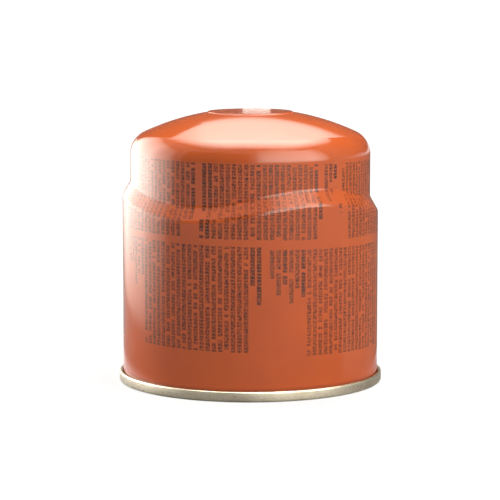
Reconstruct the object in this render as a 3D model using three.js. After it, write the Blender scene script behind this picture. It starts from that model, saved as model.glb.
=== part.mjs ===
// Pierceable camping gas cartridge in two pieces: a can drawn from one steel sheet, with a domed top
// and a waved shoulder, and a domed end that is rolled onto its open side as a double seam.
// Millimetres, Z up. It stands on the seam at Z = 0, its axis is the Z axis and its front faces -Y.
import * as THREE from "three";

// Drawn can, measured over its outside
const overallHeight = 95;
const bodyRadius = 45;
const neckRadius = 42.2;
const domeRadius = 90;
const knuckleRadius = 8.4;

// Flat pad in the middle of the dome, where a stove's seal presses and its needle goes through
const padRadius = 15;
const padRise = 0.3;
const padEdgeRadius = 0.25;

// Shoulder between body and neck: it rises and falls in equal waves round the can
const shoulderHeight = 65.7;
const shoulderAngle = 60;
const shoulderLowerRadius = 3;
const shoulderUpperRadius = 2;
const waveCount = 3;
const waveLift = 2.8;
const waveCrestAngle = 31;

// Sheet thicknesses and the play between neighbouring layers of the seam
const canSheet = 0.25;
const endSheet = 0.28;
const seamPlay = 0.2;

// Double seam: its height, the rounding it stands on, and the hooks that hold each other
const seamHeight = 3.6;
const standingCornerRadius = 0.8;
const canHookLength = 2.2;
const endHookLength = 2.2;

// Base panel of the end, domed up into the can. Both radii are on the middle of the sheet.
const panelHeight = 13;
const panelRadius = 115;
const panelCornerRadius = 1.6;

// Facets: steps round the axis, then steps along the arcs of the sections
const turnSteps = 60;
const domeSteps = 9;
const knuckleSteps = 8;
const filletSteps = 4;
const bendSteps = 6;

// Directions in a section, as angles. Left is reached over the top, or under the bottom as -left.
const degrees = Math.PI / 180;
const right = 0;
const up = Math.PI / 2;
const left = Math.PI;
const down = -Math.PI / 2;

const lacquer = new THREE.MeshStandardMaterial({ color: 0xc8582c, roughness: 0.3, metalness: 0 });
const tinplate = new THREE.MeshStandardMaterial({ color: 0xcdc6b4, roughness: 0.35, metalness: 1 });

// A section is a list of points (radius, height). An arc gives the points from one angle to another.
function arc(centre, radius, from, to, steps) {
  const curve = new THREE.EllipseCurve(centre.x, centre.y, radius, radius, from, to, to < from);
  return curve.getPoints(steps);
}

// Revolves a section round the Z axis, starting at the front.
function revolve(section) {
  const geometry = new THREE.LatheGeometry(section, turnSteps);
  geometry.rotateX(Math.PI / 2);
  return geometry;
}

// Moves a line square to itself, to the left of the way it runs. The line starts on the axis, where it
// goes on as its own mirror image, and it ends straight.
function offset(line, distance) {
  const mirrored = new THREE.Vector2(-line[1].x, line[1].y);
  return line.map((point, i) => {
    const before = i > 0 ? line[i - 1] : mirrored;
    const after = i < line.length - 1 ? line[i + 1] : point;
    const along = after.clone().sub(before).normalize();
    return new THREE.Vector2(point.x - along.y * distance, point.y + along.x * distance);
  });
}

// Layers of the seam, from the can's wall outwards, by the radius of each layer's inner face
const endHookInside = bodyRadius + seamPlay;
const canHookInside = endHookInside + endSheet + seamPlay;
const seamWallInside = canHookInside + canSheet + seamPlay;
const seamRadius = seamWallInside + endSheet;
const chuckWallOutside = bodyRadius - canSheet - seamPlay;
const chuckWallMiddle = chuckWallOutside - endSheet / 2;

// Middle of the can's own bend at the bottom of the seam, which the end wraps round
const canBend = new THREE.Vector2((bodyRadius + canHookInside) / 2, 0);
const canBendInside = (canHookInside - bodyRadius) / 2;
const canBendOutside = canBendInside + canSheet;
canBend.y = endSheet + seamPlay + canBendOutside;

// Base panel: a shallow sphere that meets the upright chuck wall in a small radius
const panelCentre = new THREE.Vector2(0, panelHeight - panelRadius);
const panelCorner = new THREE.Vector2(chuckWallMiddle - panelCornerRadius, 0);
const panelReach = panelRadius - panelCornerRadius;
panelCorner.y = panelCentre.y + Math.sqrt(panelReach ** 2 - panelCorner.x ** 2);
const panelEdge = Math.atan2(panelCorner.y - panelCentre.y, panelCorner.x);

// The panel's line from the axis outwards and down to the chuck wall, raised by a distance
function panelLine(raised) {
  return [
    ...arc(panelCentre, panelRadius + raised, up, panelEdge, domeSteps),
    ...arc(panelCorner, panelCornerRadius + raised, panelEdge, right, filletSteps).slice(1),
  ];
}

// Shoulder: two fillets joined by a straight slope, at its middle height
function shoulderSection() {
  const lean = (90 - shoulderAngle) * degrees;
  const lowerWidth = shoulderLowerRadius * (1 - Math.cos(lean));
  const upperWidth = shoulderUpperRadius * (1 - Math.cos(lean));
  const slopeWidth = bodyRadius - neckRadius - lowerWidth - upperWidth;
  const slopeHalfHeight = slopeWidth / Math.tan(lean) / 2;
  const lowerCentre = new THREE.Vector2(bodyRadius - shoulderLowerRadius, 0);
  const upperCentre = new THREE.Vector2(neckRadius + shoulderUpperRadius, 0);
  lowerCentre.y = shoulderHeight - slopeHalfHeight - shoulderLowerRadius * Math.sin(lean);
  upperCentre.y = shoulderHeight + slopeHalfHeight + shoulderUpperRadius * Math.sin(lean);
  return [
    ...arc(lowerCentre, shoulderLowerRadius, right, lean, filletSteps),
    ...arc(upperCentre, shoulderUpperRadius, left + lean, left, filletSteps),
  ];
}

// Knuckle, dome and pad, from the neck up to the axis
function topSection() {
  const padEdge = Math.sqrt(domeRadius ** 2 - padRadius ** 2);
  const domeCentre = new THREE.Vector2(0, overallHeight - padRise - padEdge);
  const knuckle = new THREE.Vector2(neckRadius - knuckleRadius, 0);
  const knuckleReach = domeRadius - knuckleRadius;
  knuckle.y = domeCentre.y + Math.sqrt(knuckleReach ** 2 - knuckle.x ** 2);
  const domeEdge = Math.atan2(knuckle.y - domeCentre.y, knuckle.x);
  const padCorner = Math.acos(padRadius / domeRadius);
  const padEdgeCentre = new THREE.Vector2(padRadius - padEdgeRadius, overallHeight - padEdgeRadius);
  return [
    ...arc(knuckle, knuckleRadius, right, domeEdge, knuckleSteps),
    ...arc(domeCentre, domeRadius, domeEdge, padCorner, domeSteps).slice(1),
    ...arc(padEdgeCentre, padEdgeRadius, right, up, filletSteps),
    new THREE.Vector2(0, overallHeight),
  ];
}

// Height that the wave gives the shoulder at a point round the can
function waveAt(x, y) {
  const angle = Math.atan2(x, -y) - waveCrestAngle * degrees;
  return waveLift * Math.cos(waveCount * angle);
}

// The can is sealed, so it is solid inside. Its underside keeps clear of the end, and its bottom edge
// is turned out and up into a hook.
function canGeometry() {
  const shoulder = shoulderSection();
  const hookTop = canBend.y - canBendOutside + canHookLength;
  const section = [
    ...panelLine(endSheet / 2 + seamPlay),
    ...arc(canBend, canBendOutside, -left, right, bendSteps),
    new THREE.Vector2(canHookInside + canSheet, hookTop),
    new THREE.Vector2(canHookInside, hookTop),
    ...arc(canBend, canBendInside, right, -left, bendSteps),
    ...shoulder,
    ...topSection(),
  ];
  const geometry = revolve(section);
  const lowest = shoulder[0].y;
  const highest = shoulder[shoulder.length - 1].y;
  const place = geometry.attributes.position;
  const tolerance = 0.001;
  for (let i = 0; i < place.count; i += 1) {
    const height = place.getZ(i);
    const onShoulder = height > lowest - tolerance && height < highest + tolerance;
    if (onShoulder) place.setZ(i, height + waveAt(place.getX(i), place.getY(i)));
  }
  geometry.computeVertexNormals();
  return geometry;
}

// The end is one bent sheet: panel, chuck wall, the flat it stands on, seam wall and hook. Its section
// is the middle line of the sheet, moved out to both sides.
function endGeometry() {
  const half = endSheet / 2;
  const standing = standingCornerRadius - half;
  const innerCorner = new THREE.Vector2(chuckWallMiddle + standing, half + standing);
  const outerCorner = new THREE.Vector2(seamRadius - half - standing, half + standing);
  const topBendRadius = (seamRadius - endHookInside - endSheet) / 2;
  const topBend = new THREE.Vector2(endHookInside + half + topBendRadius, 0);
  topBend.y = seamHeight - half - topBendRadius;
  const middle = [
    ...panelLine(0),
    ...arc(innerCorner, standing, -left, down, filletSteps),
    ...arc(outerCorner, standing, down, right, filletSteps),
    ...arc(topBend, topBendRadius, right, left, bendSteps),
    new THREE.Vector2(endHookInside + half, seamHeight - endHookLength),
  ];
  const inside = offset(middle, half);
  const outside = offset(middle, -half);
  return revolve([...outside, ...inside.reverse()]);
}

const cartridge = new THREE.Group();
const canBody = new THREE.Mesh(canGeometry(), lacquer);
canBody.name = "can_body";
const baseEnd = new THREE.Mesh(endGeometry(), tinplate);
baseEnd.name = "base_end";
cartridge.add(canBody, baseEnd);

export default cartridge;
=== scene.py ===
"""Camping gas cartridge: fine meshes and finishes round the packed model, and the studio it stands in."""

import math
from collections import namedtuple

import bpy
from bpy.props import FloatProperty, FloatVectorProperty, IntProperty, PointerProperty
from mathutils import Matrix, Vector


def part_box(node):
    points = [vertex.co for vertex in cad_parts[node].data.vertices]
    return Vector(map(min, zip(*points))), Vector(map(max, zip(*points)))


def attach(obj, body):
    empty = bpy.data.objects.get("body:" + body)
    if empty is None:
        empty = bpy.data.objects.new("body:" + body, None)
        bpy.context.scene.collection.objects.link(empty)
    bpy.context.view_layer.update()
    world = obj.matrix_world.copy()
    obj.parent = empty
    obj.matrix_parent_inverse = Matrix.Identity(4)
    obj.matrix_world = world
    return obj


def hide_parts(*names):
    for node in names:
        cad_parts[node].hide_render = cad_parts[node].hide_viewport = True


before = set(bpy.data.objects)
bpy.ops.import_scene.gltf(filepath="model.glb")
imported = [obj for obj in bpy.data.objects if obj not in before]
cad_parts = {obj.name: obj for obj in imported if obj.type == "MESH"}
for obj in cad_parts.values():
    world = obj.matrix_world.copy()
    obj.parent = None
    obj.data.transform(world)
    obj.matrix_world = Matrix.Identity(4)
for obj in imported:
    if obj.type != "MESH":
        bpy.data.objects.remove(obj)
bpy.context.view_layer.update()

bl_info = {
    "name": "Gas Cartridge",
    "version": (1, 0, 0),
    "blender": (4, 5, 0),
    "location": "View3D > Sidebar > Cartridge",
    "description": "Drawn and lacquered gas cartridge with a double seamed end, and its studio",
    "category": "Object",
}

MM = 0.001
# Upper corners of the boxes round the two solids
CAN_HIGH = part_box("can_body")[1]
END_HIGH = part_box("base_end")[1]
END_SHEET = 0.28 * MM
# Middle of the base panel's sheet on the can's axis, where the end is highest
PANEL_HEIGHT = END_HIGH.z - END_SHEET / 2
# Lengths in metres that are less than this apart count as the same
TINY = 1e-9


def linear(hex_colour):
    """A colour written as sRGB hex, as the linear numbers that shaders use."""
    channels = [int(hex_colour[i : i + 2], 16) / 255 for i in (1, 3, 5)]
    return tuple(c / 12.92 if c <= 0.04045 else ((c + 0.055) / 1.055) ** 2.4 for c in channels)


def length(name, description, default):
    """A size that the user can change, in metres."""
    return FloatProperty(
        name=name,
        description=description,
        default=default,
        min=0.0,
        subtype="DISTANCE",
        unit="LENGTH",
        precision=5,
    )


def colour(name, description, hex_colour):
    """A colour that the user can change."""
    return FloatVectorProperty(
        name=name,
        description=description,
        default=linear(hex_colour),
        min=0.0,
        max=1.0,
        subtype="COLOR",
        size=3,
    )


def factor(name, description, default, high=1.0):
    """A plain number that the user can change."""
    return FloatProperty(name=name, description=description, default=default, min=0.0, max=high)


def bearing(name, description, degrees):
    """An angle that the user can change."""
    return FloatProperty(name=name, description=description, default=math.radians(degrees), subtype="ANGLE")


class CanSizes(bpy.types.PropertyGroup):
    """Sizes of the drawn can, over its outside."""

    height: length("Height", "From the floor to the pad in the middle of the dome", CAN_HIGH.z)
    body_radius: length("Body radius", "Outside of the lower wall", 45 * MM)
    neck_radius: length("Neck radius", "Outside of the wall above the shoulder", 42.2 * MM)
    dome_radius: length("Dome radius", "Radius of the sphere that the dome is part of", 90 * MM)
    knuckle_radius: length("Knuckle radius", "Rounding between neck and dome", 8.4 * MM)
    pad_radius: length("Pad radius", "Flat pad that a stove's seal presses on", 15 * MM)
    pad_rise: length("Pad rise", "How far the pad stands proud of the dome", 0.3 * MM)
    pad_edge: length("Pad edge", "Rounding of the pad's edge", 0.25 * MM)
    shoulder_height: length("Shoulder height", "Middle of the shoulder, between crest and trough", 65.7 * MM)
    shoulder_slope: bearing("Shoulder slope", "Steepness of the shoulder, from level", 60)
    shoulder_lower: length("Lower fillet", "Rounding where body meets shoulder", 3 * MM)
    shoulder_upper: length("Upper fillet", "Rounding where shoulder meets neck", 2 * MM)
    wave_count: IntProperty(name="Waves", description="Waves of the shoulder all round", default=3, min=0)
    wave_lift: length("Wave lift", "How far a crest stands over the middle of the shoulder", 2.8 * MM)
    wave_crest: bearing("Crest bearing", "Where a crest stands, from the front towards +X", 31)


class SeamSizes(bpy.types.PropertyGroup):
    """Sizes of the double seam and of the base panel inside it."""

    can_sheet: length("Can sheet", "Thickness of the can's sheet", 0.25 * MM)
    end_sheet: length("End sheet", "Thickness of the end's sheet", END_SHEET)
    play: length("Play", "Room between neighbouring layers of the seam", 0.2 * MM)
    height: length("Seam height", "From the floor to the top of the seam", 3.6 * MM)
    standing_corner: length("Standing corner", "Rounding on both sides of the ring it stands on", 0.8 * MM)
    can_hook: length("Can hook", "Length of the can's turned up edge", 2.2 * MM)
    end_hook: length("End hook", "Length of the end's turned down edge", 2.2 * MM)
    panel_height: length("Panel height", "Middle of the base panel, over the floor", PANEL_HEIGHT)
    panel_radius: length("Panel radius", "Radius of the sphere that the base panel is part of", 115 * MM)
    panel_corner: length("Panel corner", "Rounding between base panel and chuck wall", 1.6 * MM)


class Facets(bpy.types.PropertyGroup):
    """How finely the surfaces are cut."""

    turn: IntProperty(name="Round", description="Steps round the axis", default=192, min=12)
    dome: IntProperty(name="Dome", description="Steps along the dome and the base panel", default=28, min=4)
    bend: IntProperty(name="Bends", description="Steps along each rounding", default=10, min=2)
    shoulder: IntProperty(name="Slope", description="Steps down the shoulder's slope", default=4, min=1)


class LacquerLook(bpy.types.PropertyGroup):
    """Glossy orange stoving lacquer on the can."""

    colour: colour("Lacquer", "Full colour of the lacquer", "#CC591E")
    thin_colour: colour("Thin lacquer", "Where the sheet was stretched and the coat is thinner", "#C2531E")
    ink: colour("Ink", "Printing ink over the lacquer", "#361602")
    ink_grain: length("Ink grain", "Width of the thin places in the ink", 0.6 * MM)
    ink_cover: factor("Ink cover", "How well the ink covers in its thin places", 0.8)
    roughness: factor("Roughness", "Roughness of the clear gloss on top", 0.09)
    thin_dullness: factor("Thin dullness", "Times the roughness, where the coat is thinner", 1.5, 4.0)
    gloss_index: factor("Index", "Index of refraction of the lacquer", 1.5, 3.0)
    cloud_size: length("Cloud size", "Width of the patches where the coat is thicker or thinner", 20 * MM)
    peel_size: length("Peel size", "Width of the unevenness of the coat", 1.2 * MM)
    peel_depth: length("Peel depth", "Depth of the unevenness of the coat", 0.004 * MM)
    drawn_size: length("Drawing lines", "Width of the lines that drawing left up the wall", 1.6 * MM)
    drawn_stretch: factor("Drawing stretch", "How many times as long as wide these lines are", 50.0, 500.0)
    drawn_share: factor("Drawing depth", "Depth of these lines, as a share of the peel depth", 0.5)
    rub_length: length("Rub length", "Length of the rubbing marks, round the can", 9 * MM)
    rub_height: length("Rub height", "From one rubbing mark to the next, up the can", 0.3 * MM)
    rub_dullness: factor("Rub dullness", "Roughness that a rubbing mark adds", 0.12)
    ink_dullness: factor("Ink dullness", "Roughness that the ink adds", 0.1)
    # painted shade in the groove over the seam: its height and how dark it is
    grime_height: length("Grime height", "Height of the painted shade in the groove over the seam", 1.2 * MM)
    grime: factor("Grime", "How far that painted shade darkens the lacquer", 0.5)


class PrintLayout(bpy.types.PropertyGroup):
    """Rows of small marks without meaning, printed up the can."""

    line_pitch: length("Line pitch", "From one row of marks to the next, round the can", 2.2 * MM)
    mark_pitch: length("Mark pitch", "From one mark to the next, along a row", 1.1 * MM)
    slant: factor("Slant", "How far the print runs down for each metre round the can", 0.018)
    coverage: factor("Coverage", "Share of a plain mark that is inked", 0.66)
    gap_share: factor("Gaps", "Share of the marks that chance leaves out", 0.07)
    between: factor("Between marks", "Share of the coverage that the gap after a mark has", 0.35)
    rubbed: factor("Print on slope", "Share of the print that is left on the shoulder's slope", 0.55)


class TinplateLook(bpy.types.PropertyGroup):
    """Bare tinplate of the seamed end."""

    colour: colour("Tin", "Reflection of the tin face on", "#DCD3BC")
    dull_colour: colour("Dull tin", "Rubbed and tarnished tin", "#9B917B")
    speck_colour: colour("Specks", "Specks of bare iron and dirt", "#3A342B")
    roughness: factor("Roughness", "Roughness of the rolled tin", 0.22)
    streak_dullness: factor("Streak dullness", "Roughness that a rolling mark adds", 0.1)
    cloud_dullness: factor("Cloud dullness", "Roughness that tarnish adds", 0.12)
    speck_dullness: factor("Speck dullness", "Roughness that a speck adds", 0.3)
    streak_tarnish: factor("Streak tarnish", "How far a rolling mark turns the tin dull", 0.35)
    cloud_tarnish: factor("Cloud tarnish", "How far a cloud turns the tin dull", 0.5)
    streak_length: length("Streak length", "Length of the rolling marks", 14 * MM)
    streak_width: length("Streak width", "From one rolling mark to the next", 0.25 * MM)
    streak_depth: length("Streak depth", "Depth of the rolling marks", 0.006 * MM)
    cloud_size: length("Cloud size", "Width of the clouds of tarnish", 8 * MM)
    speck_length: length("Speck spacing", "From one speck to the next along the seam", 1.4 * MM)
    speck_height: length("Speck height", "From one speck to the next up the seam", 0.6 * MM)


class StudioSettings(bpy.types.PropertyGroup):
    """Camera, floor, lamps and cards."""

    camera_distance: length("Camera distance", "From the can's axis to the camera, level", 0.8)
    camera_height: length("Camera height", "Camera over the floor", 0.14806)
    camera_aside: length("Camera aside", "How far the camera stands to the left", 0.0001)
    camera_dip: bearing("Camera dip", "How far the camera looks down", 7.28)
    camera_focal: factor("Focal length", "Millimetres, on a sensor 36 mm wide", 164.23, 1000.0)
    floor_size: length("Floor side", "Side of the square floor", 40.0)
    floor_colour: colour("Floor paper", "Paper that the object stands on", "#8C8C8C")
    floor_lift: factor("Floor lift", "Added to what shows of the floor, to make it white", 0.7, 2.0)
    cloth_colour: colour("Cloth", "Light of the softboxes and cards", "#FFFBF2")
    sky: factor("Sky", "Strength of the light from all round", 0.3)


GROUPS = (CanSizes, SeamSizes, Facets, LacquerLook, PrintLayout, TinplateLook, StudioSettings)


def settings(group):
    """The scene's settings of one group."""
    return getattr(bpy.context.scene, setting_name(group))


def setting_name(group):
    """The scene's name for one group, such as cartridge_can_sizes."""
    return "cartridge_" + "".join("_" + c.lower() if c.isupper() else c for c in group.__name__).strip("_")


# Sections: lists of points (radius, height), later turned round the Z axis
RIGHT, UP, LEFT, DOWN = 0.0, math.pi / 2, math.pi, -math.pi / 2


def arc(centre, radius, start, end, steps):
    """Points of an arc, from one angle to another."""
    angles = [start + (end - start) * i / steps for i in range(steps + 1)]
    return [Vector((centre.x + radius * math.cos(a), centre.y + radius * math.sin(a))) for a in angles]


def straight(start, end, steps):
    """Points between two points, without the two."""
    return [start.lerp(end, i / steps) for i in range(1, steps)]


def offset(line, distance):
    """A line moved square to itself, to the left of the way it runs. Its start lies on the axis."""
    moved = []
    for i, point in enumerate(line):
        before = line[i - 1] if i else Vector((-line[1].x, line[1].y))
        after = line[i + 1] if i + 1 < len(line) else point
        along = (after - before).normalized()
        moved.append(Vector((point.x - along.y * distance, point.y + along.x * distance)))
    return moved


def seam_layers():
    """Radii and centres that the layers of the seam share."""
    can, seam = settings(CanSizes), settings(SeamSizes)
    layers = {"end_hook": can.body_radius + seam.play}
    layers["can_hook"] = layers["end_hook"] + seam.end_sheet + seam.play
    layers["wall"] = layers["can_hook"] + seam.can_sheet + seam.play
    layers["outside"] = layers["wall"] + seam.end_sheet
    layers["chuck"] = can.body_radius - seam.can_sheet - seam.play - seam.end_sheet / 2
    layers["bend_inside"] = (layers["can_hook"] - can.body_radius) / 2
    layers["bend_outside"] = layers["bend_inside"] + seam.can_sheet
    bend_height = seam.end_sheet + seam.play + layers["bend_outside"]
    layers["bend"] = Vector(((can.body_radius + layers["can_hook"]) / 2, bend_height))
    return layers


def panel_line(raised):
    """The base panel from the axis outwards and down to the chuck wall, raised by a distance."""
    seam, facets = settings(SeamSizes), settings(Facets)
    centre = Vector((0.0, seam.panel_height - seam.panel_radius))
    corner = Vector((seam_layers()["chuck"] - seam.panel_corner, 0.0))
    corner.y = centre.y + math.sqrt((seam.panel_radius - seam.panel_corner) ** 2 - corner.x**2)
    edge = math.atan2(corner.y - centre.y, corner.x)
    dome = arc(centre, seam.panel_radius + raised, UP, edge, facets.dome)
    return dome + arc(corner, seam.panel_corner + raised, edge, RIGHT, facets.bend)[1:]


def shoulder_section():
    """Two fillets joined by a straight slope, at the shoulder's middle height."""
    can, facets = settings(CanSizes), settings(Facets)
    lean = UP - can.shoulder_slope
    lower_width = can.shoulder_lower * (1 - math.cos(lean))
    upper_width = can.shoulder_upper * (1 - math.cos(lean))
    slope_half = (can.body_radius - can.neck_radius - lower_width - upper_width) / math.tan(lean) / 2
    lower = Vector((can.body_radius - can.shoulder_lower, 0.0))
    upper = Vector((can.neck_radius + can.shoulder_upper, 0.0))
    lower.y = can.shoulder_height - slope_half - can.shoulder_lower * math.sin(lean)
    upper.y = can.shoulder_height + slope_half + can.shoulder_upper * math.sin(lean)
    below = arc(lower, can.shoulder_lower, RIGHT, lean, facets.bend)
    above = arc(upper, can.shoulder_upper, LEFT + lean, LEFT, facets.bend)
    return below + straight(below[-1], above[0], facets.shoulder) + above


def top_section():
    """Knuckle, dome and pad, from the neck up to the axis."""
    can, facets = settings(CanSizes), settings(Facets)
    dome = Vector((0.0, can.height - can.pad_rise - math.sqrt(can.dome_radius**2 - can.pad_radius**2)))
    knuckle = Vector((can.neck_radius - can.knuckle_radius, 0.0))
    knuckle.y = dome.y + math.sqrt((can.dome_radius - can.knuckle_radius) ** 2 - knuckle.x**2)
    edge = math.atan2(knuckle.y - dome.y, knuckle.x)
    pad_corner = Vector((can.pad_radius - can.pad_edge, can.height - can.pad_edge))
    points = arc(knuckle, can.knuckle_radius, RIGHT, edge, 2 * facets.bend)
    points += arc(dome, can.dome_radius, edge, math.acos(can.pad_radius / can.dome_radius), facets.dome)[1:]
    points += arc(pad_corner, can.pad_edge, RIGHT, UP, facets.bend)
    middle = Vector((0.0, can.height))
    return points + straight(points[-1], middle, facets.bend) + [middle]


def turn(name, section, lift=None):
    """A closed mesh: the section turned round the Z axis. lift(point, bearing) raises a point."""
    steps = settings(Facets).turn
    vertices, rings = [], []
    for point in section:
        on_axis = point.x < TINY
        ring = []
        for step in range(1 if on_axis else steps):
            angle = math.tau * step / steps
            height = point.y + (lift(point, angle) if lift else 0.0)
            ring.append(len(vertices))
            vertices.append((point.x * math.sin(angle), -point.x * math.cos(angle), height))
        rings.append(ring)
    closed = len(rings[0]) > 1
    faces = []
    for here, there in zip(rings, rings[1:] + rings[:1] if closed else rings[1:]):
        for step in range(steps):
            after = (step + 1) % steps
            if len(here) == 1:
                faces.append((here[0], there[after], there[step]))
            elif len(there) == 1:
                faces.append((here[step], here[after], there[0]))
            else:
                faces.append((here[step], here[after], there[after], there[step]))
    mesh = bpy.data.meshes.new(name)
    mesh.from_pydata(vertices, [], faces)
    mesh.polygons.foreach_set("use_smooth", [True] * len(faces))
    mesh.update()
    piece = bpy.data.objects.new(name, mesh)
    bpy.context.scene.collection.objects.link(piece)
    return piece


def add(tree, kind, inputs=(), **choices):
    """Adds a node with its own choices, and its inputs in order or by name.

    An input is a number, a colour or an output. Returns the only output, or the node where it has several.
    """
    node = tree.nodes.new("ShaderNode" + kind)
    for name, choice in choices.items():
        setattr(node, name, choice)
    sockets = [socket for socket in node.inputs if socket.enabled]
    if isinstance(inputs, dict):
        pairs = [(next(s for s in sockets if s.name == name), value) for name, value in inputs.items()]
    else:
        pairs = list(zip(sockets, inputs))
    for socket, value in pairs:
        if value is None:
            continue
        if isinstance(value, bpy.types.NodeSocket):
            tree.links.new(value, socket)
        elif socket.type == "RGBA":
            socket.default_value = (*value[:3], 1.0)
        else:
            socket.default_value = value
    outputs = [socket for socket in node.outputs if socket.enabled]
    return outputs[0] if len(outputs) == 1 else node


def new_material(name):
    """An empty node material, its tree and its output node."""
    material = bpy.data.materials.new(name)
    material.use_nodes = True
    tree = material.node_tree
    tree.nodes.clear()
    return material, tree, add(tree, "OutputMaterial")


def can_places(tree):
    """Place; way round from the front, at the body's radius; height; way out from the axis."""
    place = add(tree, "TexCoord").outputs["Object"]
    axes = add(tree, "SeparateXYZ", (place,))
    backwards = add(tree, "Math", (axes.outputs["Y"], -1.0), operation="MULTIPLY")
    angle = add(tree, "Math", (axes.outputs["X"], backwards), operation="ARCTAN2")
    around = add(tree, "Math", (angle, settings(CanSizes).body_radius), operation="MULTIPLY")
    level = add(tree, "CombineXYZ", (axes.outputs["X"], axes.outputs["Y"], 0.0))
    outwards = add(tree, "VectorMath", (level,), operation="LENGTH")
    return place, around, axes.outputs["Z"], outwards


# Blocks of greeked print: first and last row, counted round the can from the front towards +X,
# top and bottom in millimetres over the floor, and how heavy the rows are.
LIGHT, PLAIN, BOLD = 0.85, 1.0, 1.35
PRINT_BLOCKS = (
    # upper blocks, across the shoulder
    (-32, -12, 79.9, 54.8, PLAIN),
    (-11, -11, 79.9, 61.0, PLAIN),
    (-10, -10, 79.9, 61.0, BOLD),
    (-8, -7, 79.9, 54.8, BOLD),
    (-6, 10, 79.9, 54.8, PLAIN),
    (11, 11, 79.9, 61.5, BOLD),
    (13, 13, 79.9, 67.5, PLAIN),
    (14, 14, 79.9, 69.5, PLAIN),
    (15, 15, 79.6, 74.6, BOLD),
    (15, 15, 66.6, 63.4, PLAIN),
    (17, 32, 79.9, 54.4, LIGHT),
    # lower block to the left of the front
    (-24, -23, 52.5, 43.5, PLAIN),
    (-22, -22, 52.5, 36.0, PLAIN),
    (-21, -20, 52.5, 40.0, PLAIN),
    (-19, -1, 52.5, 16.7, PLAIN),
    # short rows at the front
    (0, 0, 52.5, 39.5, BOLD),
    (1, 1, 52.5, 33.0, BOLD),
    (3, 3, 51.7, 42.0, PLAIN),
    (4, 4, 51.7, 36.0, PLAIN),
    (5, 5, 51.7, 40.0, BOLD),
    (6, 6, 51.7, 33.5, PLAIN),
    (7, 7, 51.7, 38.5, PLAIN),
    (8, 8, 51.7, 35.5, BOLD),
    # lower block to the right of the front
    (9, 26, 51.7, 15.3, LIGHT),
    # back
    (34, 35, 79.9, 54.8, BOLD),
    (36, 60, 79.9, 54.8, PLAIN),
    (-62, -35, 79.9, 54.8, PLAIN),
    (29, 30, 51.7, 20.0, BOLD),
    (31, 60, 51.7, 16.0, PLAIN),
    (-62, -28, 52.5, 16.7, PLAIN),
)
# Dots that a row is cut into across, and a mark along: how many take ink, and how many there are with
# the gap after them
ROW_DOTS, ROW_DOTS_ALL = 9, 13
MARK_DOTS, MARK_DOTS_ALL = 4, 5
# Rows and dots have whole numbers, and a limit half way between two of them is safe from rounding
HALF_STEP = 0.5
# Share of the way from neck to body that counts as the shoulder's slope
SLOPE_SHARE = 0.7
# What lies no deeper than this inside the body's radius counts as its wall
WALL_DEPTH = 0.2 * MM
# Lightest and heaviest that chance makes a row
ROW_WEIGHTS = 0.9, 1.08
# Where chance is read from, for the marks that are left out and for the specks on the tin
GAP_SEED, SPECK_SEED = 7.0, 3.0


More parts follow.
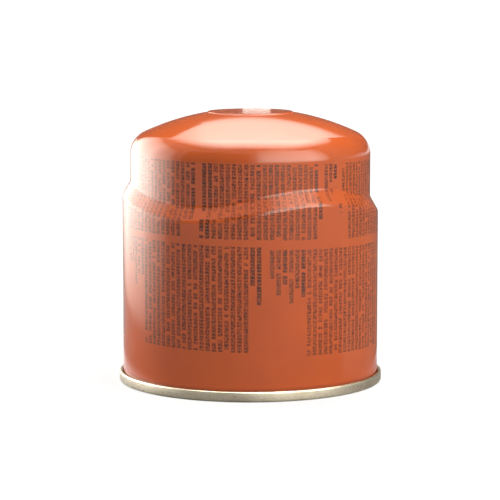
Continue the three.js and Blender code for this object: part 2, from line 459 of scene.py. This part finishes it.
def greeked_print(tree, around, height, outwards):
    """1 where there is ink, in rows of small marks that run up the can."""
    look, can = settings(PrintLayout), settings(CanSizes)
    slanted = add(tree, "Math", (around, look.slant, height), operation="MULTIPLY_ADD")
    across = add(tree, "Math", (around, look.line_pitch / ROW_DOTS_ALL), operation="DIVIDE")
    across = add(tree, "Math", (across,), operation="FLOOR")
    along = add(tree, "Math", (slanted, look.mark_pitch / MARK_DOTS_ALL), operation="DIVIDE")
    along = add(tree, "Math", (along,), operation="FLOOR")
    row = add(tree, "Math", (across, ROW_DOTS_ALL), operation="DIVIDE")
    row = add(tree, "Math", (row,), operation="FLOOR")
    mark = add(tree, "Math", (along, MARK_DOTS_ALL), operation="DIVIDE")
    mark = add(tree, "Math", (mark,), operation="FLOOR")

    weight = 0.0
    for first, last, top, bottom, heavy in PRINT_BLOCKS:
        reach = (last - first) / 2 + HALF_STEP
        rows = add(tree, "Math", (row, (first + last) / 2, reach), operation="COMPARE")
        middle, half = (top + bottom) / 2 * MM, (top - bottom) / 2 * MM
        heights = add(tree, "Math", (slanted, middle, half), operation="COMPARE")
        block = add(tree, "Math", (rows, heights), operation="MULTIPLY")
        block = add(tree, "Math", (block, heavy), operation="MULTIPLY")
        weight = add(tree, "Math", (weight, block), operation="MAXIMUM")

    # the print is left thinner on the shoulder's slope
    slope_middle = (can.body_radius + can.neck_radius) / 2
    slope_half = (can.body_radius - can.neck_radius) * SLOPE_SHARE / 2
    slope = add(tree, "Math", (outwards, slope_middle, slope_half), operation="COMPARE")
    rubbed = add(tree, "MapRange", {"Value": slope, "To Min": 1.0, "To Max": look.rubbed})
    # some rows come out heavier than others
    row_chance = add(tree, "TexWhiteNoise", (None, row), noise_dimensions="1D").outputs["Value"]
    lightest, heaviest = ROW_WEIGHTS
    row_weight = add(tree, "MapRange", {"Value": row_chance, "To Min": lightest, "To Max": heaviest})
    # chance inks some of a mark's dots, and few of those between two marks
    in_mark = add(tree, "Math", (along, MARK_DOTS_ALL), operation="FLOORED_MODULO")
    in_mark = add(tree, "Math", (in_mark, MARK_DOTS - HALF_STEP), operation="LESS_THAN")
    covered = {"Value": in_mark, "To Min": look.coverage * look.between, "To Max": look.coverage}
    share = add(tree, "MapRange", covered)
    for part in (weight, row_weight, rubbed):
        share = add(tree, "Math", (share, part), operation="MULTIPLY")
    dots = add(tree, "CombineXYZ", (across, along, 0.0))
    chance = add(tree, "TexWhiteNoise", (dots,), noise_dimensions="3D").outputs["Value"]
    ink = add(tree, "Math", (chance, share), operation="LESS_THAN")
    in_row = add(tree, "Math", (across, ROW_DOTS_ALL), operation="FLOORED_MODULO")
    in_row = add(tree, "Math", (in_row, ROW_DOTS - HALF_STEP), operation="LESS_THAN")
    # chance leaves some marks out
    marks = add(tree, "CombineXYZ", (row, mark, GAP_SEED))
    kept = add(tree, "TexWhiteNoise", (marks,), noise_dimensions="3D").outputs["Value"]
    kept = add(tree, "Math", (kept, look.gap_share), operation="GREATER_THAN")
    for part in (in_row, kept):
        ink = add(tree, "Math", (ink, part), operation="MULTIPLY")
    return ink


def lacquer_material():
    """Pigmented stoving lacquer, rolled on flat sheet before the can is drawn: hard, smooth and glossy.

    It shows crisp reflections over a full orange, and takes fine rubbing marks where cans touch each other.
    """
    look = settings(LacquerLook)
    material, tree, output = new_material("stoved_orange_lacquer")
    place, around, height, outwards = can_places(tree)

    # Noise lies mostly between 0.3 and 0.7. From Min and From Max say which part of that counts.
    # the coat varies a little in thickness
    patches = {"Vector": place, "Scale": 1 / look.cloud_size, "Detail": 2.0}
    cloud = add(tree, "TexNoise", patches).outputs["Fac"]
    cloud = add(tree, "MapRange", {"Value": cloud, "From Min": 0.35, "From Max": 0.65})
    base = add(tree, "Mix", (cloud, look.colour, look.thin_colour), data_type="RGBA")

    # the ink lies over the lacquer and is a little thin in places
    ink = greeked_print(tree, around, height, outwards)
    grain = {"Vector": place, "Scale": 1 / look.ink_grain, "Detail": 1.0}
    fine = add(tree, "TexNoise", grain).outputs["Fac"]
    cover = {"Value": fine, "From Min": 0.3, "From Max": 0.7, "To Min": look.ink_cover}
    inked = add(tree, "Math", (ink, add(tree, "MapRange", cover)), operation="MULTIPLY")
    base = add(tree, "Mix", (inked, base, look.ink), data_type="RGBA")

    # painted shade in the groove over the seam darkens the foot of the wall towards the ink's colour
    low = settings(SeamSizes).height
    high = low + look.grime_height
    groove = {"Value": height, "From Min": low, "From Max": high, "To Min": look.grime, "To Max": 0.0}
    base = add(tree, "Mix", (add(tree, "MapRange", groove), base, look.ink), data_type="RGBA")

    # rubbing marks: short and level, on the widest part of the wall, where cans touch each other
    rubbed_around = add(tree, "Math", (around, look.rub_length), operation="DIVIDE")
    rubbed_height = add(tree, "Math", (height, look.rub_height), operation="DIVIDE")
    rubbed_place = add(tree, "CombineXYZ", (rubbed_around, rubbed_height, outwards))
    rubbed = add(tree, "TexNoise", {"Vector": rubbed_place, "Scale": 1.0, "Detail": 1.0}).outputs["Fac"]
    rubbed = add(tree, "MapRange", {"Value": rubbed, "From Min": 0.66, "From Max": 0.76})
    wall = settings(CanSizes).body_radius - WALL_DEPTH
    widest = add(tree, "Math", (outwards, wall), operation="GREATER_THAN")
    rubbed = add(tree, "Math", (rubbed, widest), operation="MULTIPLY")
    duller = look.roughness * look.thin_dullness
    dull = add(tree, "MapRange", {"Value": cloud, "To Min": look.roughness, "To Max": duller})
    dull = add(tree, "Math", (rubbed, look.rub_dullness, dull), operation="MULTIPLY_ADD")
    dull = add(tree, "Math", (inked, look.ink_dullness, dull), operation="MULTIPLY_ADD")

    # orange peel of the stoved coat, and drawing lines up the wall
    orange_peel = {"Vector": place, "Scale": 1 / look.peel_size, "Detail": 1.0}
    peel = add(tree, "TexNoise", orange_peel).outputs["Fac"]
    drawn_height = add(tree, "Math", (height, look.drawn_stretch), operation="DIVIDE")
    drawn_place = add(tree, "CombineXYZ", (around, drawn_height, outwards))
    lines = {"Vector": drawn_place, "Scale": 1 / look.drawn_size, "Detail": 2.0}
    drawn = add(tree, "TexNoise", lines).outputs["Fac"]
    relief = add(tree, "Math", (drawn, look.drawn_share, peel), operation="MULTIPLY_ADD")
    bump = add(tree, "Bump", {"Strength": 1.0, "Distance": look.peel_depth, "Height": relief})

    gloss = {"Base Color": base, "Roughness": dull, "IOR": look.gloss_index, "Normal": bump}
    shader = add(tree, "BsdfPrincipled", gloss)
    tree.links.new(shader, output.inputs["Surface"])
    return material


def tinplate_material():
    """Cold rolled steel sheet with a thin bright skin of tin, rubbed along the seam by the seaming rollers.

    It mirrors softly, streaked along the way it was rolled, with grey scuffs and a few dark specks.
    """
    look = settings(TinplateLook)
    material, tree, output = new_material("rolled_tinplate")
    place, around, height, outwards = can_places(tree)

    # rolling marks: long and narrow, and drawn coarser than real ones so that they show
    streak_around = add(tree, "Math", (around, look.streak_length), operation="DIVIDE")
    streak_height = add(tree, "Math", (height, look.streak_width), operation="DIVIDE")
    streak_out = add(tree, "Math", (outwards, look.streak_width), operation="DIVIDE")
    streak_place = add(tree, "CombineXYZ", (streak_around, streak_height, streak_out))
    streak = add(tree, "TexNoise", {"Vector": streak_place, "Scale": 1.0, "Detail": 3.0}).outputs["Fac"]
    streak = add(tree, "MapRange", {"Value": streak, "From Min": 0.3, "From Max": 0.7})
    # tarnish in clouds
    clouds = {"Vector": place, "Scale": 1 / look.cloud_size, "Detail": 3.0}
    cloud = add(tree, "TexNoise", clouds).outputs["Fac"]
    cloud = add(tree, "MapRange", {"Value": cloud, "From Min": 0.4, "From Max": 0.75})
    clouded = add(tree, "Math", (cloud, look.cloud_tarnish), operation="MULTIPLY")
    tarnish = add(tree, "Math", (streak, look.streak_tarnish, clouded), operation="MULTIPLY_ADD")
    base = add(tree, "Mix", (tarnish, look.colour, look.dull_colour), data_type="RGBA")
    # specks of bare iron and dirt, drawn out a little along the seam
    speck_around = add(tree, "Math", (around, look.speck_length), operation="DIVIDE")
    speck_height = add(tree, "Math", (height, look.speck_height), operation="DIVIDE")
    speck_place = add(tree, "CombineXYZ", (speck_around, speck_height, SPECK_SEED))
    speck = add(tree, "TexNoise", {"Vector": speck_place, "Scale": 1.0, "Detail": 2.0}).outputs["Fac"]
    speck = add(tree, "MapRange", {"Value": speck, "From Min": 0.68, "From Max": 0.74})
    base = add(tree, "Mix", (speck, base, look.speck_colour), data_type="RGBA")

    dull = add(tree, "Math", (streak, look.streak_dullness, look.roughness), operation="MULTIPLY_ADD")
    dull = add(tree, "Math", (cloud, look.cloud_dullness, dull), operation="MULTIPLY_ADD")
    dull = add(tree, "Math", (speck, look.speck_dullness, dull), operation="MULTIPLY_ADD")
    bump = add(tree, "Bump", {"Strength": 1.0, "Distance": look.streak_depth, "Height": streak})
    metal = {"Base Color": base, "Metallic": 1.0, "Roughness": dull, "Normal": bump}
    shader = add(tree, "BsdfPrincipled", metal)
    tree.links.new(shader, output.inputs["Surface"])
    return material


class CARTRIDGE_OT_drawn_can(bpy.types.Operator):
    """Builds the drawn can over its solid"""

    bl_idname = "cartridge.drawn_can"
    bl_label = "Drawn can"

    def execute(self, context):
        can, seam, facets, layers = settings(CanSizes), settings(SeamSizes), settings(Facets), seam_layers()
        shoulder = shoulder_section()
        low, high = shoulder[0].y, shoulder[-1].y
        hook_top = layers["bend"].y - layers["bend_outside"] + seam.can_hook
        section = panel_line(seam.end_sheet / 2 + seam.play)
        section += arc(layers["bend"], layers["bend_outside"], -LEFT, RIGHT, facets.bend)
        section += [Vector((layers["can_hook"] + seam.can_sheet, hook_top))]
        section += [Vector((layers["can_hook"], hook_top))]
        section += arc(layers["bend"], layers["bend_inside"], RIGHT, -LEFT, facets.bend)
        section += shoulder + top_section()

        def wave(point, angle):
            """How far the shoulder's waves raise a point at this bearing."""
            if not low - TINY <= point.y <= high + TINY:
                return 0.0
            return can.wave_lift * math.cos(can.wave_count * (angle - can.wave_crest))

        piece = turn("drawn_can", section, wave)
        piece.data.materials.append(lacquer_material())
        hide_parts("can_body")
        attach(piece, "root")
        return {"FINISHED"}


class CARTRIDGE_OT_seamed_end(bpy.types.Operator):
    """Builds the seamed end over its solid"""

    bl_idname = "cartridge.seamed_end"
    bl_label = "Seamed end"

    def execute(self, context):
        seam, facets, layers = settings(SeamSizes), settings(Facets), seam_layers()
        half = seam.end_sheet / 2
        standing = seam.standing_corner - half
        inner = Vector((layers["chuck"] + standing, half + standing))
        outer = Vector((layers["outside"] - half - standing, half + standing))
        top_radius = (layers["outside"] - layers["end_hook"] - seam.end_sheet) / 2
        top = Vector((layers["end_hook"] + half + top_radius, seam.height - half - top_radius))
        middle = panel_line(0.0)
        middle += arc(inner, standing, -LEFT, DOWN, facets.bend)
        middle += arc(outer, standing, DOWN, RIGHT, facets.bend)
        middle += arc(top, top_radius, RIGHT, LEFT, 2 * facets.bend)
        middle += [Vector((layers["end_hook"] + half, seam.height - seam.end_hook))]
        section = offset(middle, -half) + offset(middle, half)[::-1]
        piece = turn("seamed_end", section)
        piece.data.materials.append(tinplate_material())
        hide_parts("base_end")
        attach(piece, "root")
        return {"FINISHED"}


def shown_directly(tree, mirrored_share=1.0):
    """1 for the camera's own rays, and a share for those that the object mirrors or lets through."""
    path = add(tree, "LightPath")
    either = (path.outputs["Is Glossy Ray"], path.outputs["Is Transmission Ray"])
    mirrored = add(tree, "Math", either, operation="MAXIMUM")
    mirrored = add(tree, "Math", (mirrored, mirrored_share), operation="MULTIPLY")
    return add(tree, "Math", (path.outputs["Is Camera Ray"], mirrored), operation="MAXIMUM")


def card_material(card):
    """Glowing cloth of a softbox, or a dull card where the glow is low. Its front alone glows."""
    material, tree, output = new_material(card.name)
    axes = add(tree, "SeparateXYZ", (add(tree, "TexCoord").outputs["Generated"],))
    strength = card.glow
    for axis, stops in (("X", card.across), ("Y", card.up)):
        profile = add(tree, "ValToRGB", (axes.outputs[axis],))
        marks = profile.color_ramp.elements
        while len(marks) < len(stops):
            marks.new(1.0)
        for mark, (place, share) in zip(marks, stops):
            mark.position = place
            mark.color = (share, share, share, 1.0)
        strength = add(tree, "Math", (strength, profile.outputs["Color"]), operation="MULTIPLY")
    front = add(tree, "Math", (1.0, add(tree, "NewGeometry").outputs["Backfacing"]), operation="SUBTRACT")
    strength = add(tree, "Math", (strength, front), operation="MULTIPLY")
    shader = add(tree, "Emission", {"Color": settings(StudioSettings).cloth_colour, "Strength": strength})
    tree.links.new(shader, output.inputs["Surface"])
    return material


def facing_turn(place, facing):
    """Turn of an object at place whose +Z looks at facing."""
    return (Vector(facing) - Vector(place)).to_track_quat("Z", "Y").to_euler()


def flat_sheet(name, width, height):
    """A flat rectangle of the set, in its own XY plane."""
    x, y = width / 2, height / 2
    mesh = bpy.data.meshes.new(name)
    mesh.from_pydata([(-x, -y, 0), (x, -y, 0), (x, y, 0), (-x, y, 0)], [], [(0, 1, 2, 3)])
    sheet = bpy.data.objects.new(name, mesh)
    bpy.context.scene.collection.objects.link(sheet)
    return sheet


# Rings of the floor in which its light changes, in metres out from the can's axis, and the share of the
# light that is left inside the first one and under the seam. That share is painted shade in the glow
# that the object mirrors
SHADE_FROM, SHADE_TO, SHADE_LEAST = 0.11, 1.3, 0.15
TOUCH_WIDTH, TOUCH_LEAST = 16 * MM, 0.3
PAINTED_RIM_LIGHT_FROM, PAINTED_RIM_LIGHT_TO = 0.075, 0.1
LIFT_FROM, LIFT_TO = 0.15, 0.7
# Places beside the rim where the glow that the object mirrors has painted shade, and one to the left where
# it has painted light: middle, radius, and the share of the light there
PAINTED_LIGHT_AND_SHADE_BY_RIM = (
    ((-0.021, -0.056, 0.0), 0.034, 0.0),
    ((0.062, 0.004, 0.0), 0.056, 0.0),
    ((-0.064, -0.008, 0.0), 0.044, 1.55),
)


def floor_material():
    """Matt pale paper. What shows of it is lifted to white, and keeps the object's shadow.

    The glow that the object mirrors has painted shade near the object and painted light beside the rim.
    """
    studio = settings(StudioSettings)
    material, tree, output = new_material("pale_paper")
    paper = add(tree, "BsdfDiffuse", {"Color": studio.floor_colour})
    place = add(tree, "TexCoord").outputs["Object"]
    out = add(tree, "VectorMath", (place,), operation="LENGTH")
    # close to the object the glow that the object mirrors is turned down, as painted shade
    shade = {"Value": out, "From Min": SHADE_FROM, "From Max": SHADE_TO, "To Min": SHADE_LEAST}
    shade = add(tree, "MapRange", shade)
    # right beside the tin rim the glow that the object mirrors has a painted ring of light, more or less of
    # it by place
    fading = {
        "Value": out,
        "From Min": PAINTED_RIM_LIGHT_FROM,
        "From Max": PAINTED_RIM_LIGHT_TO,
        "To Min": 1.0,
        "To Max": 0.0,
    }
    painted_rim_light = add(tree, "MapRange", fading)
    for middle, radius, share in PAINTED_LIGHT_AND_SHADE_BY_RIM:
        away = add(tree, "VectorMath", (place, middle), operation="DISTANCE")
        here = {"Value": away, "From Min": radius / 2, "From Max": radius, "To Min": share}
        painted_rim_light = add(tree, "Math", (painted_rim_light, add(tree, "MapRange", here)), operation="MULTIPLY")
    shade = add(tree, "Math", (shade, painted_rim_light), operation="MAXIMUM")
    # under the seam, where it touches the paper, the glow that the object mirrors is darker still: painted
    # contact shade
    rim = END_HIGH.x
    touch = {"Value": out, "From Min": rim, "From Max": rim + TOUCH_WIDTH, "To Min": TOUCH_LEAST}
    shade = add(tree, "Math", (shade, add(tree, "MapRange", touch)), operation="MULTIPLY")
    # far from the lamps the lift takes over
    lift = {"Value": out, "From Min": LIFT_FROM, "From Max": LIFT_TO, "To Min": studio.floor_lift}
    lift = add(tree, "MapRange", lift)
    lift = add(tree, "Math", (shown_directly(tree, shade), lift), operation="MULTIPLY")
    glow = add(tree, "Emission", {"Color": (1.0, 1.0, 1.0), "Strength": lift})
    both = add(tree, "AddShader", (paper, glow))
    # from below the paper can be looked through, to see the object's underside
    below = add(tree, "NewGeometry").outputs["Backfacing"]
    sheet = add(tree, "MixShader", (below, both, add(tree, "BsdfTransparent")))
    tree.links.new(sheet, output.inputs["Surface"])
    return material


# How the glow of a card runs along one side: pairs of place, from 0 to 1, and share of the glow there
EVEN = ((0.0, 1.0), (1.0, 1.0))
Card = namedtuple("Card", "name middle facing width height glow across up", defaults=(EVEN, EVEN))
# Cards round the set that only show as reflections on the object. Places and sides are in metres, and
# facing is the point that the card faces. A flag is a dull card that keeps a brighter one off the object.
CARDS = (
    Card(
        name="overhead_cloth",
        middle=(0.05, 0.51, 0.71),
        facing=(0.05, 0.51, 0.0),
        width=1.05,
        height=1.68,
        glow=11.0,
        across=((0.0, 0.0), (0.3, 1.0), (0.7, 1.0), (1.0, 0.0)),
        up=(
            (0.0, 0.2),
            (0.08, 0.62),
            (0.2, 1.0),
            (0.31, 1.0),
            (0.45, 0.58),
            (0.57, 0.39),
            (0.82, 0.2),
            (0.94, 0.0),
        ),
    ),
    Card(
        name="left_cloth",
        middle=(-0.2175, 0.1185, 0.1465),
        facing=(0.66, -0.36, 0.1465),
        width=0.52,
        height=0.307,
        glow=10.7,
        across=(
            (0.0, 0.1),
            (0.12, 0.38),
            (0.2, 0.48),
            (0.3, 0.65),
            (0.38, 0.88),
            (0.47, 0.78),
            (0.56, 0.68),
            (0.66, 0.6),
            (0.8, 0.27),
            (1.0, 0.12),
        ),
        up=((0.0, 0.1), (0.21, 1.0), (0.45, 0.9), (0.7, 0.64), (0.88, 0.42), (1.0, 0.1)),
    ),
    Card(
        name="right_cloth",
        middle=(0.562, -0.582, 0.73),
        facing=(0.0, 0.0, 0.73),
        width=1.3,
        height=1.4,
        glow=7.0,
        across=((0.0, 0.0), (0.12, 0.5), (0.3, 1.0), (0.7, 0.9), (0.9, 0.7), (1.0, 0.3)),
        up=((0.0, 0.0), (0.03, 0.7), (0.1, 1.0), (0.35, 0.85), (0.6, 0.66), (0.72, 0.55), (1.0, 0.35)),
    ),
    Card("patch_cloth", (0.003, 0.3, 0.109), (0.003, 0.0, 0.109), 0.0132, 0.008, 3.2),
    Card("back_flag", (0.0, 0.5, 0.22), (0.0, 0.0, 0.22), 1.0, 0.25, 0.13),
    Card("left_high_flag", (-0.108, 0.309, 0.22), (0.77, -0.169, 0.22), 0.14, 0.19, 0.12),
    Card("left_low_flag", (-0.0912, 0.34, 0.062), (0.7868, -0.138, 0.062), 0.115, 0.125, 0.3),
    Card("front_flag", (-0.3, -0.45, 0.3), (0.0, 0.0, 0.3), 0.7, 0.5, 0.4),
    Card(
        name="right_low_flag",
        middle=(0.0725, 0.04, 0.039),
        facing=(-0.8075, -0.43, 0.039),
        width=0.159,
        height=0.078,
        glow=1.0,
        across=((0.0, 0.15), (0.5, 0.25), (0.8, 0.6), (1.0, 1.0)),
    ),
    Card(
        name="right_high_flag",
        middle=(0.5, 0.3, 0.395),
        facing=(0.0, 0.0, 0.395),
        width=0.8,
        height=0.55,
        glow=1.0,
        across=((0.0, 0.12), (0.5, 0.3), (1.0, 0.95)),
    ),
)
# Lamps that light the object and aren't mirrored by it: name, place, the point it faces, side in
# metres, watts
LAMPS = (
    ("top_lamp", (0.05, 0.15, 0.75), (0.0, 0.0, 0.08), 0.8, 7.2),
    ("key_lamp", (0.75, -0.65, 0.55), (0.0, 0.0, 0.06), 0.7, 8.5),
    ("left_lamp", (-0.6, 0.25, 0.15), (0.0, 0.0, 0.04), 0.4, 4.0),
)


class CARTRIDGE_OT_studio(bpy.types.Operator):
    """Sets up the floor, the soft lights and the camera"""

    bl_idname = "cartridge.studio"
    bl_label = "Studio"

    def execute(self, context):
        studio = settings(StudioSettings)
        scene = context.scene
        camera = bpy.data.objects.new("camera", bpy.data.cameras.new("camera"))
        camera.data.lens = studio.camera_focal
        camera.data.sensor_width = 36.0
        camera.data.clip_end = 100.0
        camera.location = (-studio.camera_aside, -studio.camera_distance, studio.camera_height)
        camera.rotation_euler = (math.pi / 2 - studio.camera_dip, 0.0, 0.0)
        scene.collection.objects.link(camera)
        scene.camera = camera
        scene.view_settings.view_transform = "Standard"

        floor = flat_sheet("floor", studio.floor_size, studio.floor_size)
        floor.data.materials.append(floor_material())
        for card in CARDS:
            sheet = flat_sheet(card.name, card.width, card.height)
            sheet.location = card.middle
            sheet.rotation_euler = facing_turn(card.middle, card.facing)
            sheet.data.materials.append(card_material(card))
            sheet.visible_camera = False
            sheet.visible_diffuse = False
            sheet.visible_shadow = False
        for name, place, facing, side, watts in LAMPS:
            lamp = bpy.data.objects.new(name, bpy.data.lights.new(name, "AREA"))
            lamp.data.shape = "SQUARE"
            lamp.data.size = side
            lamp.data.energy = watts
            lamp.location = place
            # a lamp shines along its -Z, so its +Z looks away from what it lights
            lamp.rotation_euler = facing_turn(facing, place)
            lamp.visible_camera = False
            lamp.visible_glossy = False
            scene.collection.objects.link(lamp)

        scene.world = bpy.data.worlds.new("studio")
        scene.world.use_nodes = True
        tree = scene.world.node_tree
        tree.nodes.clear()
        # what shows of the sky is white, and its light on the object is faint
        shown = shown_directly(tree)
        strength = add(tree, "MapRange", {"Value": shown, "To Min": studio.sky, "To Max": 1.0})
        sky = add(tree, "Background", {"Color": (1.0, 1.0, 1.0), "Strength": strength})
        tree.links.new(sky, add(tree, "OutputWorld").inputs["Surface"])
        return {"FINISHED"}


class CARTRIDGE_PT_panel(bpy.types.Panel):
    """Lists the pieces and their settings"""

    bl_idname = "CARTRIDGE_PT_panel"
    bl_label = "Gas cartridge"
    bl_space_type = "VIEW_3D"
    bl_region_type = "UI"
    bl_category = "Cartridge"

    def draw(self, context):
        for operator in OPERATORS:
            self.layout.operator(operator.bl_idname)
        for group in GROUPS:
            box = self.layout.box()
            box.label(text=group.__doc__)
            for name in group.__annotations__:
                box.prop(settings(group), name)


OPERATORS = (CARTRIDGE_OT_drawn_can, CARTRIDGE_OT_seamed_end, CARTRIDGE_OT_studio)


def register():
    """Registers the classes and gives the scene their settings."""
    for cls in GROUPS + OPERATORS + (CARTRIDGE_PT_panel,):
        bpy.utils.register_class(cls)
    for group in GROUPS:
        setattr(bpy.types.Scene, setting_name(group), PointerProperty(type=group))


def unregister():
    """Takes the settings and the classes away again."""
    for group in GROUPS:
        delattr(bpy.types.Scene, setting_name(group))
    for cls in reversed(GROUPS + OPERATORS + (CARTRIDGE_PT_panel,)):
        bpy.utils.unregister_class(cls)


def main():
    """Builds the whole scene."""
    register()
    bpy.ops.cartridge.drawn_can()
    bpy.ops.cartridge.seamed_end()
    bpy.ops.cartridge.studio()


if __name__ == "__main__":
    main()
